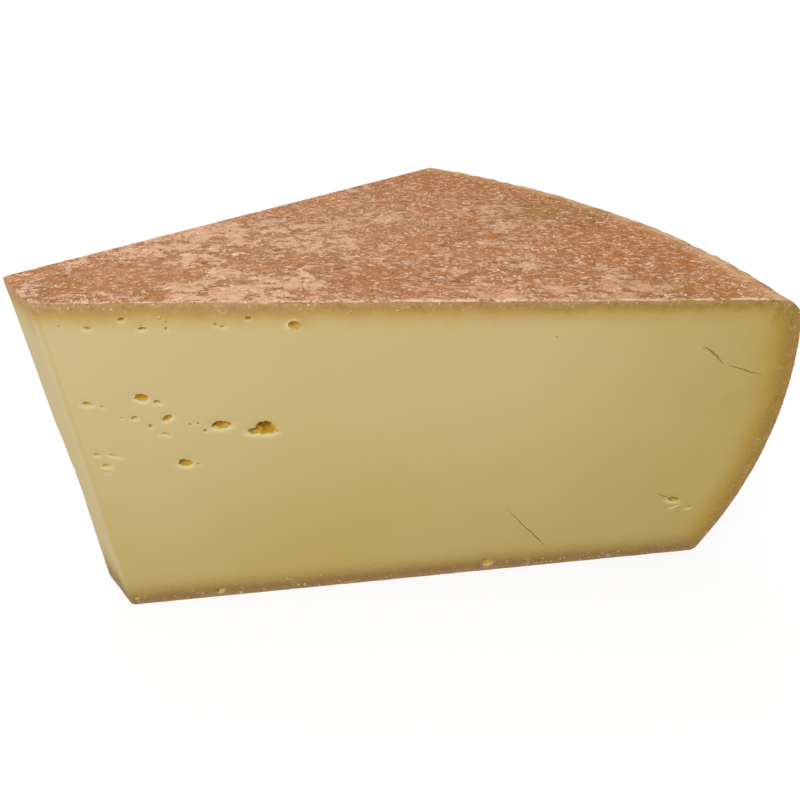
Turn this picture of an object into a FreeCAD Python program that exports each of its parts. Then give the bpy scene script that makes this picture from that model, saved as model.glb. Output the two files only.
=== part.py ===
import FreeCAD, Part
import Sketcher
import math
import os

# Alpine cheese wedge, about 50 degrees of a large wheel, in millimetres, +Z up.
#
# The wheel is turned first: flat foot, convex heel, a top face that falls to one side, a rounded top rim.
# A lofted block then cuts the portion out of it, with a front cut that twists as the knife drifts
# and a short blunting cut across the tip. The worn far edge, the eyes and the cracks come out last.
# While it is built, the two long cuts meet at the document's origin. The front cut looks along -Y.
# At the end the piece is moved so that its origin lies under its middle, on the board.

DOCUMENT = "AlpineCheeseWedge"
NODE = "cheese_wedge"
FOLDER = "parts"

# Driving sizes: alias, value, meaning.
SIZES = (
    ("wheel_radius", 279, "radius of the foot, before its rim is bevelled"),
    ("wheel_height", 134, "height on the wheel's axis"),
    ("heel_bulge", 12.8, "how far the heel swells past the foot at its widest"),
    ("heel_middle", 67, "height of the heel's widest line"),
    ("top_slope", 2.2, "fall of the top face, in degrees"),
    ("thin_side", -30, "direction of the wheel's thinnest side, in degrees from the front cut"),
    ("top_rim_round", 11, "rounding of the top rim"),
    ("foot_rim_bevel", 1.5, "worn edge of the foot's rim"),
    ("axis_x", 7, "wheel's axis from where the cuts meet, along the front cut"),
    ("axis_y", 5, "wheel's axis from where the cuts meet, behind the front cut"),
    ("wedge_angle", 49, "angle between the two long cuts"),
    ("tip_front", 39.7, "missing tip, along the front cut at the top"),
    ("tip_back", 31.1, "missing tip, along the back cut at the top"),
    ("foot_out_front", 2, "how far the tip's front edge runs out at the foot"),
    ("foot_out_back", 6.8, "how far the tip's back edge runs to the front at the foot"),
    ("knife_drift", 15, "how far the front cut's foot lies back at the heel"),
    ("tip_edge_round", 1.5, "rounding of the two upright edges at the tip"),
    ("spare", 60, "how far the cutting block runs past the wheel"),
    ("nick_height", 44, "height of the worn place's middle on the tip's far edge"),
    ("nick_length", 68, "length of the worn place, up the edge"),
    ("nick_depth", 6.5, "depth of the worn place"),
    ("nick_round", 16, "half width of the worn place's scoop"),
    ("nick_lean", 5, "lean of the worn place, in degrees"),
)

# Eyes in the front cut: name, where its place is measured from, how far along the cut from there,
# what its level is measured from, how far up or down from there, width, height, depth and turn.
EYES = (
    ("eye_largest", "tip", 65.4, "foot", 82.1, 10.9, 5.4, 4.5, -4),
    ("eye_second", "tip", 51.5, "foot", 84.8, 6.6, 3.2, 2.6, 3),
    ("eye_upper_left", "tip", 26.6, "foot", 97.3, 4.4, 2.9, 2.2, -12),
    ("eye_low_left", "tip", 36.1, "foot", 69.3, 5.0, 3.4, 2.6, -8),
    ("eye_by_the_tip", "tip", 8.3, "foot", 96.0, 3.4, 1.8, 1.5, -10),
    ("eye_under_top", "tip", 80.8, "top", 12.0, 4.0, 3.3, 2.4, 0),
    ("eye_at_heel", "heel", 16.2, "foot", 33.0, 5.6, 3.6, 3.0, -25),
)
EYE_SIZES = ("along", "level", "width", "height", "depth", "turn")

# Cracks in the front cut: name, gape, depth, what their levels are measured from, and their bends, as
# (distance before the heel, level).
CRACKS = (
    ("crack_at_heel", 1.2, 4, "top", ((23.6, 26.7), (17.0, 31.2), (10.6, 35.2), (-2.0, 39.5))),
    ("crack_at_foot", 0.7, 3, "foot", ((86.7, 35.4), (77.5, 24.0), (68.1, 11.6))),
)


def sheet_rows():
    """Every row of the sheet: alias, value and meaning."""
    yield from SIZES
    for name, side, along, base, level, *values in EYES:
        meanings = (f"distance from the {side}", f"distance from the {base}", *EYE_SIZES[2:])
        for size, value, meaning in zip(EYE_SIZES, (along, level, *values), meanings):
            yield f"{name}_{size}", value, f"{name.replace('_', ' ')}: {meaning}"
    for name, gape, depth, base, bends in CRACKS:
        yield f"{name}_gape", gape, "how wide the crack stands open"
        yield f"{name}_depth", depth, "how deep the crack runs"
        for number, (before_heel, level) in enumerate(bends, start=1):
            yield f"{name}_before_heel_{number}", before_heel, "a bend of the crack, before the heel"
            yield f"{name}_level_{number}", level, f"the same bend, from the {base}"


def fill_sheet(doc):
    """The sheet that every size is read from, one row for each."""
    sheet = doc.addObject("Spreadsheet::Sheet", "Sizes")
    for row, (alias, value, meaning) in enumerate(sheet_rows(), start=1):
        sheet.set(f"A{row}", alias)
        sheet.set(f"B{row}", str(value))
        sheet.set(f"C{row}", meaning)
        sheet.setAlias(f"B{row}", alias)
    doc.recompute()


def plane_of(body, role):
    """One of the body's own origin planes."""
    return next(item for item in body.Origin.OriginFeatures if item.Role == role)


def sketch_on(body, name, role, height=None):
    """A sketch on one of the body's origin planes, lifted by an expression if one is given."""
    sketch = body.newObject("Sketcher::SketchObject", name)
    sketch.AttachmentSupport = [(plane_of(body, role), "")]
    sketch.MapMode = "FlatFace"
    if height:
        sketch.setExpression("AttachmentOffset.Base.z", height)
    return sketch


def bind(sketch, kind, *targets, size):
    """A dimension of the sketch, driven by an expression of the sheet's sizes."""
    index = sketch.addConstraint(Sketcher.Constraint(kind, *targets, sketch.evalExpression(size)))
    sketch.setExpression(f"Constraints[{index}]", size)


def place_point(sketch, piece, end, x, y):
    """Holds one end of an outline piece at x, y from the sketch's origin, both expressions."""
    bind(sketch, "DistanceX", -1, 1, piece, end, size=x)
    bind(sketch, "DistanceY", -1, 1, piece, end, size=y)


def ring_sketch(body, name, role, corners, height=None, round_corners=(), radius=None):
    """A closed straight-sided outline whose corners are pairs of expressions, some of them rounded."""
    sketch = sketch_on(body, name, role, height)
    count = len(corners)
    points = [FreeCAD.Vector(sketch.evalExpression(x), sketch.evalExpression(y)) for x, y in corners]
    for start, end in zip(points, points[1:] + points[:1]):
        sketch.addGeometry(Part.LineSegment(start, end))
    for line in range(count):
        if (line + 1) % count not in round_corners:
            sketch.addConstraint(Sketcher.Constraint("Coincident", line, 2, (line + 1) % count, 1))
    for corner, (x, y) in enumerate(corners):
        if corner in round_corners:
            round_corner(sketch, (corner - 1) % count, corner, points, (x, y), radius)
        else:
            place_point(sketch, corner, 1, x, y)
    return sketch


def round_corner(sketch, line_before, line_after, points, corner, radius):
    """An arc between two lines of the outline, whose own corner is kept as a point and placed."""
    here = points[line_after]
    size = sketch.evalExpression(radius)
    to_before = (points[line_before] - here).normalize()
    to_after = (points[(line_after + 1) % len(points)] - here).normalize()
    half_angle = to_before.getAngle(to_after) / 2
    centre = here + (to_before + to_after).normalize() * (size / math.sin(half_angle))
    leave = here + to_before * (size / math.tan(half_angle))
    rejoin = here + to_after * (size / math.tan(half_angle))
    nearest = centre + (here - centre).normalize() * size
    arc = sketch.addGeometry(Part.Arc(leave, nearest, rejoin))
    point = sketch.addGeometry(Part.Point(here), True)
    starts_at_leave = (sketch.getPoint(arc, 1) - leave).Length < (sketch.getPoint(arc, 2) - leave).Length
    first, last = (1, 2) if starts_at_leave else (2, 1)
    sketch.addConstraint(Sketcher.Constraint("Tangent", line_before, 2, arc, first))
    sketch.addConstraint(Sketcher.Constraint("Tangent", arc, last, line_after, 1))
    sketch.addConstraint(Sketcher.Constraint("PointOnObject", point, 1, line_before))
    sketch.addConstraint(Sketcher.Constraint("PointOnObject", point, 1, line_after))
    place_point(sketch, point, 1, *corner)
    bind(sketch, "Radius", arc, size=radius)


def edges_at(shape, test):
    """Names of the shape's edges that pass the test."""
    return [f"Edge{number}" for number, edge in enumerate(shape.Edges, start=1) if test(edge)]


def dress_edges(body, kind, name, base, edges, measure, size):
    """A fillet or chamfer on some edges of the body's last feature."""
    feature = body.newObject(f"PartDesign::{kind}", name)
    feature.Base = (base, edges)
    feature.setExpression(measure, size)
    return feature


# The wheel

TALL = "(Sizes.wheel_height + Sizes.spare)"
HEEL_CURVE = "(Sizes.heel_bulge ^ 2 + Sizes.heel_middle ^ 2) / (2 * Sizes.heel_bulge)"
WIDEST = "(Sizes.wheel_radius + Sizes.heel_bulge)"


def heel_reach(height):
    """Expression of the heel's distance from the axis at a height."""
    sagitta = f"({HEEL_CURVE} - sqrt(({HEEL_CURVE}) ^ 2 - ({height} - Sizes.heel_middle) ^ 2))"
    return f"{WIDEST} - {sagitta}"


def wheel_profile(body):
    """Half of the wheel's section: foot, convex heel and a blank's top, still too high."""
    sketch = sketch_on(body, "WheelProfile", "XZ_Plane")
    value = sketch.evalExpression
    foot, top, middle = value("Sizes.wheel_radius"), value(TALL), value("Sizes.heel_middle")
    top_reach = value(heel_reach(TALL))
    axis_foot = FreeCAD.Vector(0, 0)
    axis_top = FreeCAD.Vector(0, top)
    rim_foot = FreeCAD.Vector(foot, 0)
    rim_top = FreeCAD.Vector(top_reach, top)
    widest = FreeCAD.Vector(value(WIDEST), middle)
    sketch.addGeometry(Part.LineSegment(axis_foot, rim_foot))
    sketch.addGeometry(Part.Arc(rim_foot, widest, rim_top))
    sketch.addGeometry(Part.LineSegment(rim_top, axis_top))
    sketch.addGeometry(Part.LineSegment(axis_top, axis_foot))
    foot_line, heel, top_line, axis = range(4)
    for one, two in ((foot_line, heel), (heel, top_line), (top_line, axis), (axis, foot_line)):
        sketch.addConstraint(Sketcher.Constraint("Coincident", one, 2, two, 1))
    sketch.addConstraint(Sketcher.Constraint("Coincident", foot_line, 1, -1, 1))
    sketch.addConstraint(Sketcher.Constraint("Horizontal", foot_line))
    sketch.addConstraint(Sketcher.Constraint("Horizontal", top_line))
    sketch.addConstraint(Sketcher.Constraint("Vertical", axis))
    bind(sketch, "DistanceX", -1, 1, foot_line, 2, size="Sizes.wheel_radius")
    bind(sketch, "DistanceY", -1, 1, heel, 3, size="Sizes.heel_middle")
    bind(sketch, "DistanceY", -1, 1, top_line, 2, size=TALL)
    bind(sketch, "Radius", heel, size=HEEL_CURVE)
    return sketch


def make_wheel(doc):
    """The whole wheel, thinner on one side, turned so that its thin side lies where it should."""
    body = doc.addObject("PartDesign::Body", "Wheel")
    profile = wheel_profile(body)
    blank = body.newObject("PartDesign::Revolution", "Blank")
    blank.Profile = profile
    blank.ReferenceAxis = (profile, ["V_Axis"])
    blank.Angle = 360
    profile.Visibility = False
    doc.recompute()

    far = f"({WIDEST} + Sizes.spare)"
    fall = f"{far} * tan(Sizes.top_slope)"
    above = f"{TALL} + Sizes.spare"
    over_the_top = ring_sketch(body, "OverTheTop", "XZ_Plane", (
        (f"-{far}", f"Sizes.wheel_height + {fall}"),
        (far, f"Sizes.wheel_height - {fall}"),
        (far, above),
        (f"-{far}", above),
    ))
    top_face = body.newObject("PartDesign::Pocket", "TopFace")
    top_face.Profile = over_the_top
    top_face.Type = "ThroughAll"
    top_face.Midplane = True
    over_the_top.Visibility = False
    doc.recompute()
    if top_face.Shape.Volume >= blank.Shape.Volume:
        raise RuntimeError("the top face cuts nothing off the blank")

    heel_middle = body.evalExpression("Sizes.heel_middle")

    def is_rim(edge):
        return edge.Length > body.evalExpression("Sizes.wheel_radius")

    def on_foot(edge):
        return is_rim(edge) and edge.CenterOfMass.z < heel_middle

    def on_top(edge):
        return is_rim(edge) and edge.CenterOfMass.z > heel_middle

    top_rim = dress_edges(body, "Fillet", "TopRim", top_face, edges_at(top_face.Shape, on_top),
                          "Radius", "Sizes.top_rim_round")
    doc.recompute()
    dress_edges(body, "Chamfer", "FootRim", top_rim, edges_at(top_rim.Shape, on_foot),
                "Size", "Sizes.foot_rim_bevel")
    body.setExpression("Placement.Base.x", "Sizes.axis_x")
    body.setExpression("Placement.Base.y", "Sizes.axis_y")
    body.setExpression("Placement.Rotation.Angle", "Sizes.thin_side")
    doc.recompute()
    return body


# The block that cuts the portion out

BLOCK_REACH = f"({WIDEST} + Sizes.spare) / cos(Sizes.wedge_angle / 2)"
DRIFT_PER_LENGTH = "Sizes.knife_drift / (Sizes.wheel_radius - Sizes.tip_front)"


def drift_at(along):
    """How far back the front cut's foot lies at a distance from where the cuts meet."""
    return f"({along} - Sizes.tip_front) * {DRIFT_PER_LENGTH}"


def front_cut_back(along, up):
    """How far back the front cut lies at a place: nothing at the top, the knife's drift at the foot."""
    return f"{drift_at(along)} * (1 - {up} / Sizes.wheel_height)"


def carried_up(top, foot):
    """A coordinate at the block's top, in line with its values at the foot and at the wheel's height."""
    return f"{foot} + ({top} - ({foot})) * {TALL} / Sizes.wheel_height"


def block_corners():
    """The block's corners as (top, foot) pairs: tip front, heel front, heel back, tip back."""
    back_x, back_y = "cos(Sizes.wedge_angle)", "sin(Sizes.wedge_angle)"
    tip_front = ("Sizes.tip_front", "0")
    tip_front_foot = ("Sizes.tip_front + Sizes.foot_out_front", "0")
    heel_front = (BLOCK_REACH, "0")
    heel_front_foot = (BLOCK_REACH, drift_at(BLOCK_REACH))
    heel_back = (f"{BLOCK_REACH} * {back_x}", f"{BLOCK_REACH} * {back_y}")
    tip_back = (f"Sizes.tip_back * {back_x}", f"Sizes.tip_back * {back_y}")
    tip_back_foot = (
        f"{tip_back[0]} + Sizes.foot_out_back * {back_y}",
        f"{tip_back[1]} - Sizes.foot_out_back * {back_x}",
    )
    return (
        (tip_front, tip_front_foot),
        (heel_front, heel_front_foot),
        (heel_back, heel_back),
        (tip_back, tip_back_foot),
    )


def make_block(doc):
    """The cutting block: its upright sides are the portion's two long cuts and its blunt tip."""
    body = doc.addObject("PartDesign::Body", "CuttingBlock")
    corners = block_corners()
    tip_corners = (0, len(corners) - 1)
    foot = ring_sketch(body, "CutsAtFoot", "XY_Plane", [foot for _, foot in corners],
                       None, tip_corners, "Sizes.tip_edge_round")
    top = ring_sketch(body, "CutsAtTop", "XY_Plane", [
        (carried_up(top[0], foot[0]), carried_up(top[1], foot[1])) for top, foot in corners
    ], TALL, tip_corners, "Sizes.tip_edge_round")
    sides = body.newObject("PartDesign::AdditiveLoft", "Sides")
    sides.Profile = foot
    sides.Sections = [top]
    sides.Ruled = True
    foot.Visibility = False
    top.Visibility = False
    doc.recompute()
    return body


# Eyes, cracks and the worn edge

def along_cut(side, distance):
    """Where a hollow lies along the front cut, measured from its tip or its heel end."""
    return {"tip": f"(Sizes.tip_front + {distance})", "heel": f"(Sizes.wheel_radius - {distance})"}[side]


def up_cut(base, level):
    """How high a hollow lies on the front cut, measured from the foot or down from the top."""
    return {"foot": f"({level})", "top": f"(Sizes.wheel_height - {level})"}[base]


def make_eye(doc, name, side, base):
    """One eye: an egg-shaped hollow whose middle lies on the front cut, its poles fore and aft."""
    distance, level, width, height, depth, turn = (f"Sizes.{name}_{size}" for size in EYE_SIZES)
    along = along_cut(side, distance)
    up = up_cut(base, level)
    body = doc.addObject("PartDesign::Body", name)
    egg = body.newObject("PartDesign::AdditiveEllipsoid", f"{name}_egg")
    egg.AttachmentSupport = [(plane_of(body, "XZ_Plane"), "")]
    egg.MapMode = "FlatFace"
    egg.AttachmentOffset = FreeCAD.Placement(FreeCAD.Vector(), FreeCAD.Rotation(FreeCAD.Vector(0, 0, 1), 1))
    egg.setExpression("Radius1", depth)
    egg.setExpression("Radius2", f"{width} / 2")
    egg.setExpression("Radius3", f"{height} / 2")
    egg.setExpression("AttachmentOffset.Base.x", along)
    egg.setExpression("AttachmentOffset.Base.y", up)
    egg.setExpression("AttachmentOffset.Rotation.Angle", turn)
    body.setExpression("Placement.Base.y", front_cut_back(along, up))
    return body


def make_crack(doc, name, base, bend_count):
    """One crack: a slit that follows its bends, widest between them and shut at both ends."""
    body = doc.addObject("PartDesign::Body", name)
    bends = [
        (along_cut("heel", f"Sizes.{name}_before_heel_{n}"), up_cut(base, f"Sizes.{name}_level_{n}"))
        for n in range(1, bend_count + 1)
    ]
    # Both cracks fall towards the heel, so their upper side lies up and towards the heel.
    aside = f"Sizes.{name}_gape / 2 * sin(45)"
    inner = bends[1:-1]
    upper = [(f"{along} + {aside}", f"{up} + {aside}") for along, up in inner]
    lower = [(f"{along} - {aside}", f"{up} - {aside}") for along, up in reversed(inner)]
    outline = ring_sketch(body, f"{name}_outline", "XZ_Plane", [bends[0], *upper, bends[-1], *lower])
    slit = body.newObject("PartDesign::Pad", f"{name}_slit")
    slit.Profile = outline
    slit.Midplane = True
    slit.setExpression("Length", f"2 * Sizes.{name}_depth")
    outline.Visibility = False
    body.setExpression("Placement.Base.y", front_cut_back(*bends[bend_count // 2]))
    return body


def make_nick(doc):
    """The scoop that wears the tip's far edge away, a little proud of the edge."""
    nick = doc.addObject("Part::Ellipsoid", "worn_edge")
    share = "Sizes.nick_height / Sizes.wheel_height"
    edge_run = f"Sizes.foot_out_back * (1 - {share})"
    proud = "(Sizes.nick_round - Sizes.nick_depth)"
    nick.setExpression("Radius1", "Sizes.nick_length / 2")
    nick.setExpression("Radius2", "Sizes.nick_round")
    nick.setExpression("Radius3", "Sizes.nick_round")
    nick.setExpression(
        "Placement.Base.x",
        f"(Sizes.tip_back - {proud}) * cos(Sizes.wedge_angle) + {edge_run} * sin(Sizes.wedge_angle)",
    )
    nick.setExpression(
        "Placement.Base.y",
        f"(Sizes.tip_back + {proud}) * sin(Sizes.wedge_angle) - {edge_run} * cos(Sizes.wedge_angle)",
    )
    nick.setExpression("Placement.Base.z", "Sizes.nick_height")
    nick.Placement.Rotation = FreeCAD.Rotation(FreeCAD.Vector(0, -1, 0), 1)
    nick.setExpression("Placement.Rotation.Angle", "Sizes.nick_lean")
    return nick


def make_wedge(doc, wheel, block):
    """The portion of the wheel inside the block, less every hollow, set on the frame's origin."""
    portion = doc.addObject("Part::Common", "Portion")
    portion.Base = wheel
    portion.Tool = block
    hollows = doc.addObject("Part::MultiFuse", "Hollows")
    hollows.Shapes = [
        make_nick(doc),
        *(make_eye(doc, name, side, base) for name, side, _, base, *_ in EYES),
        *(make_crack(doc, name, base, len(bends)) for name, _, _, base, bends in CRACKS),
    ]
    wedge = doc.addObject("Part::Cut", NODE)
    wedge.Base = portion
    wedge.Tool = hollows
    wedge.Label = NODE
    doc.recompute()
    box = wedge.Shape.optimalBoundingBox()
    middle_foot = FreeCAD.Vector(box.Center.x, box.Center.y, box.ZMin)
    wedge.Placement = FreeCAD.Placement(-middle_foot, FreeCAD.Rotation())
    doc.recompute()
    return wedge


def check(doc, wedge):
    """Stops the build on any failed object, and on anything but one sound solid."""
    failed = [item.Name for item in doc.Objects if {"Invalid", "Error"} & set(item.State)]
    if failed:
        raise RuntimeError(f"failed objects: {failed}")
    shape = wedge.Shape
    if shape.isNull() or not shape.isValid() or len(shape.Solids) != 1:
        raise RuntimeError("the wedge isn't one sound solid")


def main():
    doc = FreeCAD.newDocument(DOCUMENT)
    fill_sheet(doc)
    wedge = make_wedge(doc, make_wheel(doc), make_block(doc))
    check(doc, wedge)
    os.makedirs(FOLDER, exist_ok=True)
    wedge.Shape.exportStep(os.path.join(FOLDER, f"{NODE}.step"))


main()
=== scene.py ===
import math

import bmesh
import bpy
import numpy as np
from mathutils import Matrix, Vector


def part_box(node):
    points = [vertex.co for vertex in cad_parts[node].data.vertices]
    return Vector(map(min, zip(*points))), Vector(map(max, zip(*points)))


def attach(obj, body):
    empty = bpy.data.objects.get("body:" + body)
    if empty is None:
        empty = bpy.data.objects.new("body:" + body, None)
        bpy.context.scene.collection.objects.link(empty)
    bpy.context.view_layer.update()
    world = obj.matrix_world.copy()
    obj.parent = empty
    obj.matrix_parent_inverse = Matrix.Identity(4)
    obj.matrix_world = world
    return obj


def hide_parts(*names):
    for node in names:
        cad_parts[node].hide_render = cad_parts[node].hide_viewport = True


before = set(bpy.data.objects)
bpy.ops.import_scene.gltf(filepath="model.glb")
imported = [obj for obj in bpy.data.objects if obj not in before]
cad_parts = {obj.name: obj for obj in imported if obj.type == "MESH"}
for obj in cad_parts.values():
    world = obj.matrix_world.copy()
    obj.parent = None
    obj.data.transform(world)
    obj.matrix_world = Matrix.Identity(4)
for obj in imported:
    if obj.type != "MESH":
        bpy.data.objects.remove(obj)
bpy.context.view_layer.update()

# Looks of the alpine cheese wedge: cut paste on three sides, browned rind over the top, heel and foot.
#
# Shapes are worked out in the cutting frame of the part, in millimetres, where the two long cuts meet at
# the origin and the front cut looks along -Y. They go into metres and onto the part when a mesh is made.
# Each side of the wedge is a piece of its own, closed behind, and neighbours share their border's points.

NODE = "cheese_wedge"
MM = 0.001

# The wheel and the cuts, as in the part, but with the tip's upright edges rounder. Angles are in radians.
WHEEL_RADIUS = 279.0
WHEEL_HEIGHT = 134.0
HEEL_BULGE = 12.8
HEEL_MIDDLE = 67.0
TOP_SLOPE = math.radians(2.2)
THIN_SIDE = math.radians(-30.0)
TOP_RIM_ROUND = 11.0
FOOT_RIM_BEVEL = 1.5
AXIS = np.array([7.0, 5.0])
WEDGE_ANGLE = math.radians(49.0)
TIP_FRONT = 39.7
TIP_BACK = 31.1
FOOT_OUT_FRONT = 2.0
FOOT_OUT_BACK = 6.8
KNIFE_DRIFT = 15.0
TIP_EDGE_ROUND = 3.2
CUT_REACH = 390.0

HEEL_CURVE = (HEEL_BULGE**2 + HEEL_MIDDLE**2) / (2 * HEEL_BULGE)
WIDEST = WHEEL_RADIUS + HEEL_BULGE

# A point well inside the wedge, and how far each side's hidden walls slant in towards it.
CORE = np.array([165.0, 62.0, 62.0])
CORE_SHARE = 0.2

# The worn place on the tip's far edge: levels and how deep it is worn at each.
WORN_LEVELS = (0, 5, 18, 32, 45, 57, 67, 73, 77, 80, 86)
WORN_DEPTHS = (-0.6, 0.9, 3.2, 5.0, 6.5, 7.0, 6.3, 4.6, 1.6, -1.2, -6.0)
WORN_PROUD = 9.5

# Eyes in the front cut: along, level, width, height, depth, turn in degrees, raggedness.
EYES = (
    (106.3, 82.3, 6.6, 5.2, 4.2, -4, 0.34),
    (91.2, 84.8, 6.6, 3.4, 2.8, 3, 0.26),
    (66.3, 97.3, 4.4, 2.9, 2.2, -12, 0.16),
    (71.2, 95.4, 2.7, 1.6, 1.2, -6, 0.20),
    (75.8, 69.3, 5.0, 3.4, 2.8, -3, 0.16),
    (80.3, 68.5, 1.5, 0.9, 0.8, 0, 0.20),
    (73.3, 88.8, 3.5, 2.0, 1.8, 28, 0.20),
    (62.2, 89.5, 2.3, 1.7, 1.2, 0, 0.20),
    (66.9, 85.9, 1.4, 1.8, 1.1, 0, 0.20),
    (71.4, 82.3, 3.0, 1.5, 0.9, -12, 0.24),
    (48.0, 96.0, 3.4, 1.8, 1.3, -8, 0.18),
    (52.6, 94.5, 1.4, 1.2, 0.8, -20, 0.18),
    (80.6, 85.9, 1.0, 0.9, 0.9, 0, 0.15),
    (83.4, 86.1, 0.9, 1.0, 0.9, 0, 0.15),
    (85.3, 83.0, 1.4, 1.3, 1.3, 0, 0.20),
    (58.2, 89.8, 1.0, 0.9, 0.6, 0, 0.15),
    (46.1, 75.0, 2.1, 1.3, 0.9, -10, 0.22),
    (51.8, 74.2, 3.4, 1.3, 0.8, -16, 0.30),
    (48.0, 70.1, 3.1, 1.8, 1.1, -6, 0.24),
    (47.6, 67.2, 1.1, 0.9, 0.5, 0, 0.20),
    (55.1, 123.7, 2.3, 1.3, 1.0, -12, 0.24),
    (66.4, 126.4, 2.0, 1.4, 1.3, 8, 0.22),
    (72.2, 123.0, 2.5, 1.4, 1.1, -4, 0.26),
    (79.7, 122.7, 0.8, 1.1, 0.8, 10, 0.15),
    (95.6, 123.4, 1.5, 1.0, 0.8, -25, 0.20),
    (97.7, 122.7, 1.7, 1.0, 0.8, 5, 0.20),
    (106.2, 125.1, 1.9, 1.4, 1.6, 0, 0.14),
    (120.5, 122.0, 4.1, 3.0, 1.8, 0, 0.16),
    (43.9, 4.6, 2.4, 1.6, 1.0, -20, 0.24),
    (77.9, 3.6, 2.6, 2.4, 1.4, 40, 0.20),
    (191.0, 5.0, 3.4, 4.2, 1.6, 20, 0.30),
    (267.8, 33.4, 5.2, 3.0, 2.8, -22, 0.26),
    (268.8, 29.6, 3.2, 1.3, 1.1, 24, 0.24),
    (275.6, 28.1, 2.6, 1.9, 1.6, 12, 0.20),
    (102.2, 81.5, 5.2, 3.0, 2.2, -3, 0.26),
    (109.0, 81.0, 3.4, 1.8, 1.2, -8, 0.26),
)

# Eyes that run into others, by their number in that list: they are taken out after the rest.
LATER_EYES = (("heel_eyes", (31, 33)), ("side_lobes", (32, 34, 35)))

# One eye has the painted highlight on its lip above it, and the others below.
HIGHLIT_ABOVE = (120.5, 122.0)

# No eye is as deep as this behind the cut, in millimetres.
DEEPEST_EYE = 7.0

# Cracks in the front cut: gape, depth and the bends as (along, level).
CRACKS = (
    (0.85, 0.8, ((259.8, 107.6), (262.6, 106.4), (265.0, 104.4), (267.2, 102.3), (269.9, 99.8))),
    (0.60, 0.65, ((271.2, 99.7), (273.6, 98.5), (277.1, 97.4), (281.0, 95.8), (286.2, 94.5))),
    (0.50, 0.7, ((197.3, 35.4), (201.9, 29.6), (206.4, 23.7), (211.2, 18.1), (215.9, 11.6))),
    (0.42, 0.6, ((259.8, 37.8), (263.0, 35.9), (266.4, 34.6))),
)


# Soft random lumps

def lumps(points, size, seed):
    """Smooth random numbers from -1 to 1 over space, in lumps of about that size."""
    table = np.random.default_rng(seed).uniform(-1, 1, 4096)
    places = points / size
    cell = np.floor(places).astype(np.int64)
    part = places - cell
    part = part**3 * (part * (part * 6 - 15) + 10)
    total = np.zeros(points.shape[:-1])
    for corner in np.ndindex(2, 2, 2):
        key = (cell + corner) * (73856093, 19349663, 83492791)
        pick = (key[..., 0] ^ key[..., 1] ^ key[..., 2]) & 4095
        share = np.prod(np.where(corner, part, 1 - part), axis=-1)
        total += table[pick] * share
    return total


def rough(points, size, seed, layers=3):
    """Lumps with finer lumps on them, each half as high as the last."""
    return sum(lumps(points, size / 2**k, seed + k) / 2**k for k in range(layers))


def wander(points, size, seed):
    """A random small direction over space, the same for every piece at one place."""
    return np.stack([rough(points, size, seed + 10 * k, 2) for k in range(3)], axis=-1)


def ease(x, low, high):
    """Goes smoothly from 0 at low to 1 at high."""
    t = np.clip((x - low) / (high - low), 0, 1)
    return t * t * (3 - 2 * t)


# The wheel's surfaces and the cuts

def top_level(x, y):
    """Height of the wheel's falling top face over a place."""
    out = (x - AXIS[0]) * math.cos(THIN_SIDE) + (y - AXIS[1]) * math.sin(THIN_SIDE)
    return WHEEL_HEIGHT - math.tan(TOP_SLOPE) * out


def heel_reach(level):
    """Distance of the heel from the wheel's axis at a level."""
    return WIDEST - HEEL_CURVE + np.sqrt(HEEL_CURVE**2 - (level - HEEL_MIDDLE) ** 2)


def at_height(level, foot, top):
    """A cut's corner at a level, carried in line from its place at the foot and at the top."""
    return np.array(foot) + (np.array(top) - foot) * (level / WHEEL_HEIGHT)[..., None]


def cut_corners(level):
    """Where the cuts' lines start at the tip and where they point to, at a level.

    The front cut's start and end come first, then the back cut's."""
    level = np.asarray(level, float)
    back = np.array([math.cos(WEDGE_ANGLE), math.sin(WEDGE_ANGLE)])
    side = np.array([back[1], -back[0]])
    drift = (CUT_REACH - TIP_FRONT) * KNIFE_DRIFT / (WHEEL_RADIUS - TIP_FRONT)
    front_start = at_height(level, (TIP_FRONT + FOOT_OUT_FRONT, 0.0), (TIP_FRONT, 0.0))
    front_end = at_height(level, (CUT_REACH, drift), (CUT_REACH, 0.0))
    back_start = at_height(level, TIP_BACK * back + FOOT_OUT_BACK * side, TIP_BACK * back)
    back_end = at_height(level, CUT_REACH * back, CUT_REACH * back)
    return front_start, front_end, back_start, back_end


def unit(vectors):
    """The same directions, each one long."""
    return vectors / np.linalg.norm(vectors, axis=-1, keepdims=True)


def cut_ends(cut, level):
    """Start and end of a long cut's line at a level."""
    corners = cut_corners(level)
    return corners[:2] if cut == "front" else corners[2:]


def lies_back(cut, x, level):
    """How far back a long cut lies at a place along X and a level."""
    start, end = cut_ends(cut, level)
    run = end - start
    return start[..., 1] + (x - start[..., 0]) * run[..., 1] / run[..., 0]


# Share of the tip's width that each of its two rounded edges takes.
ROUND_SHARE = 0.12


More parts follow.
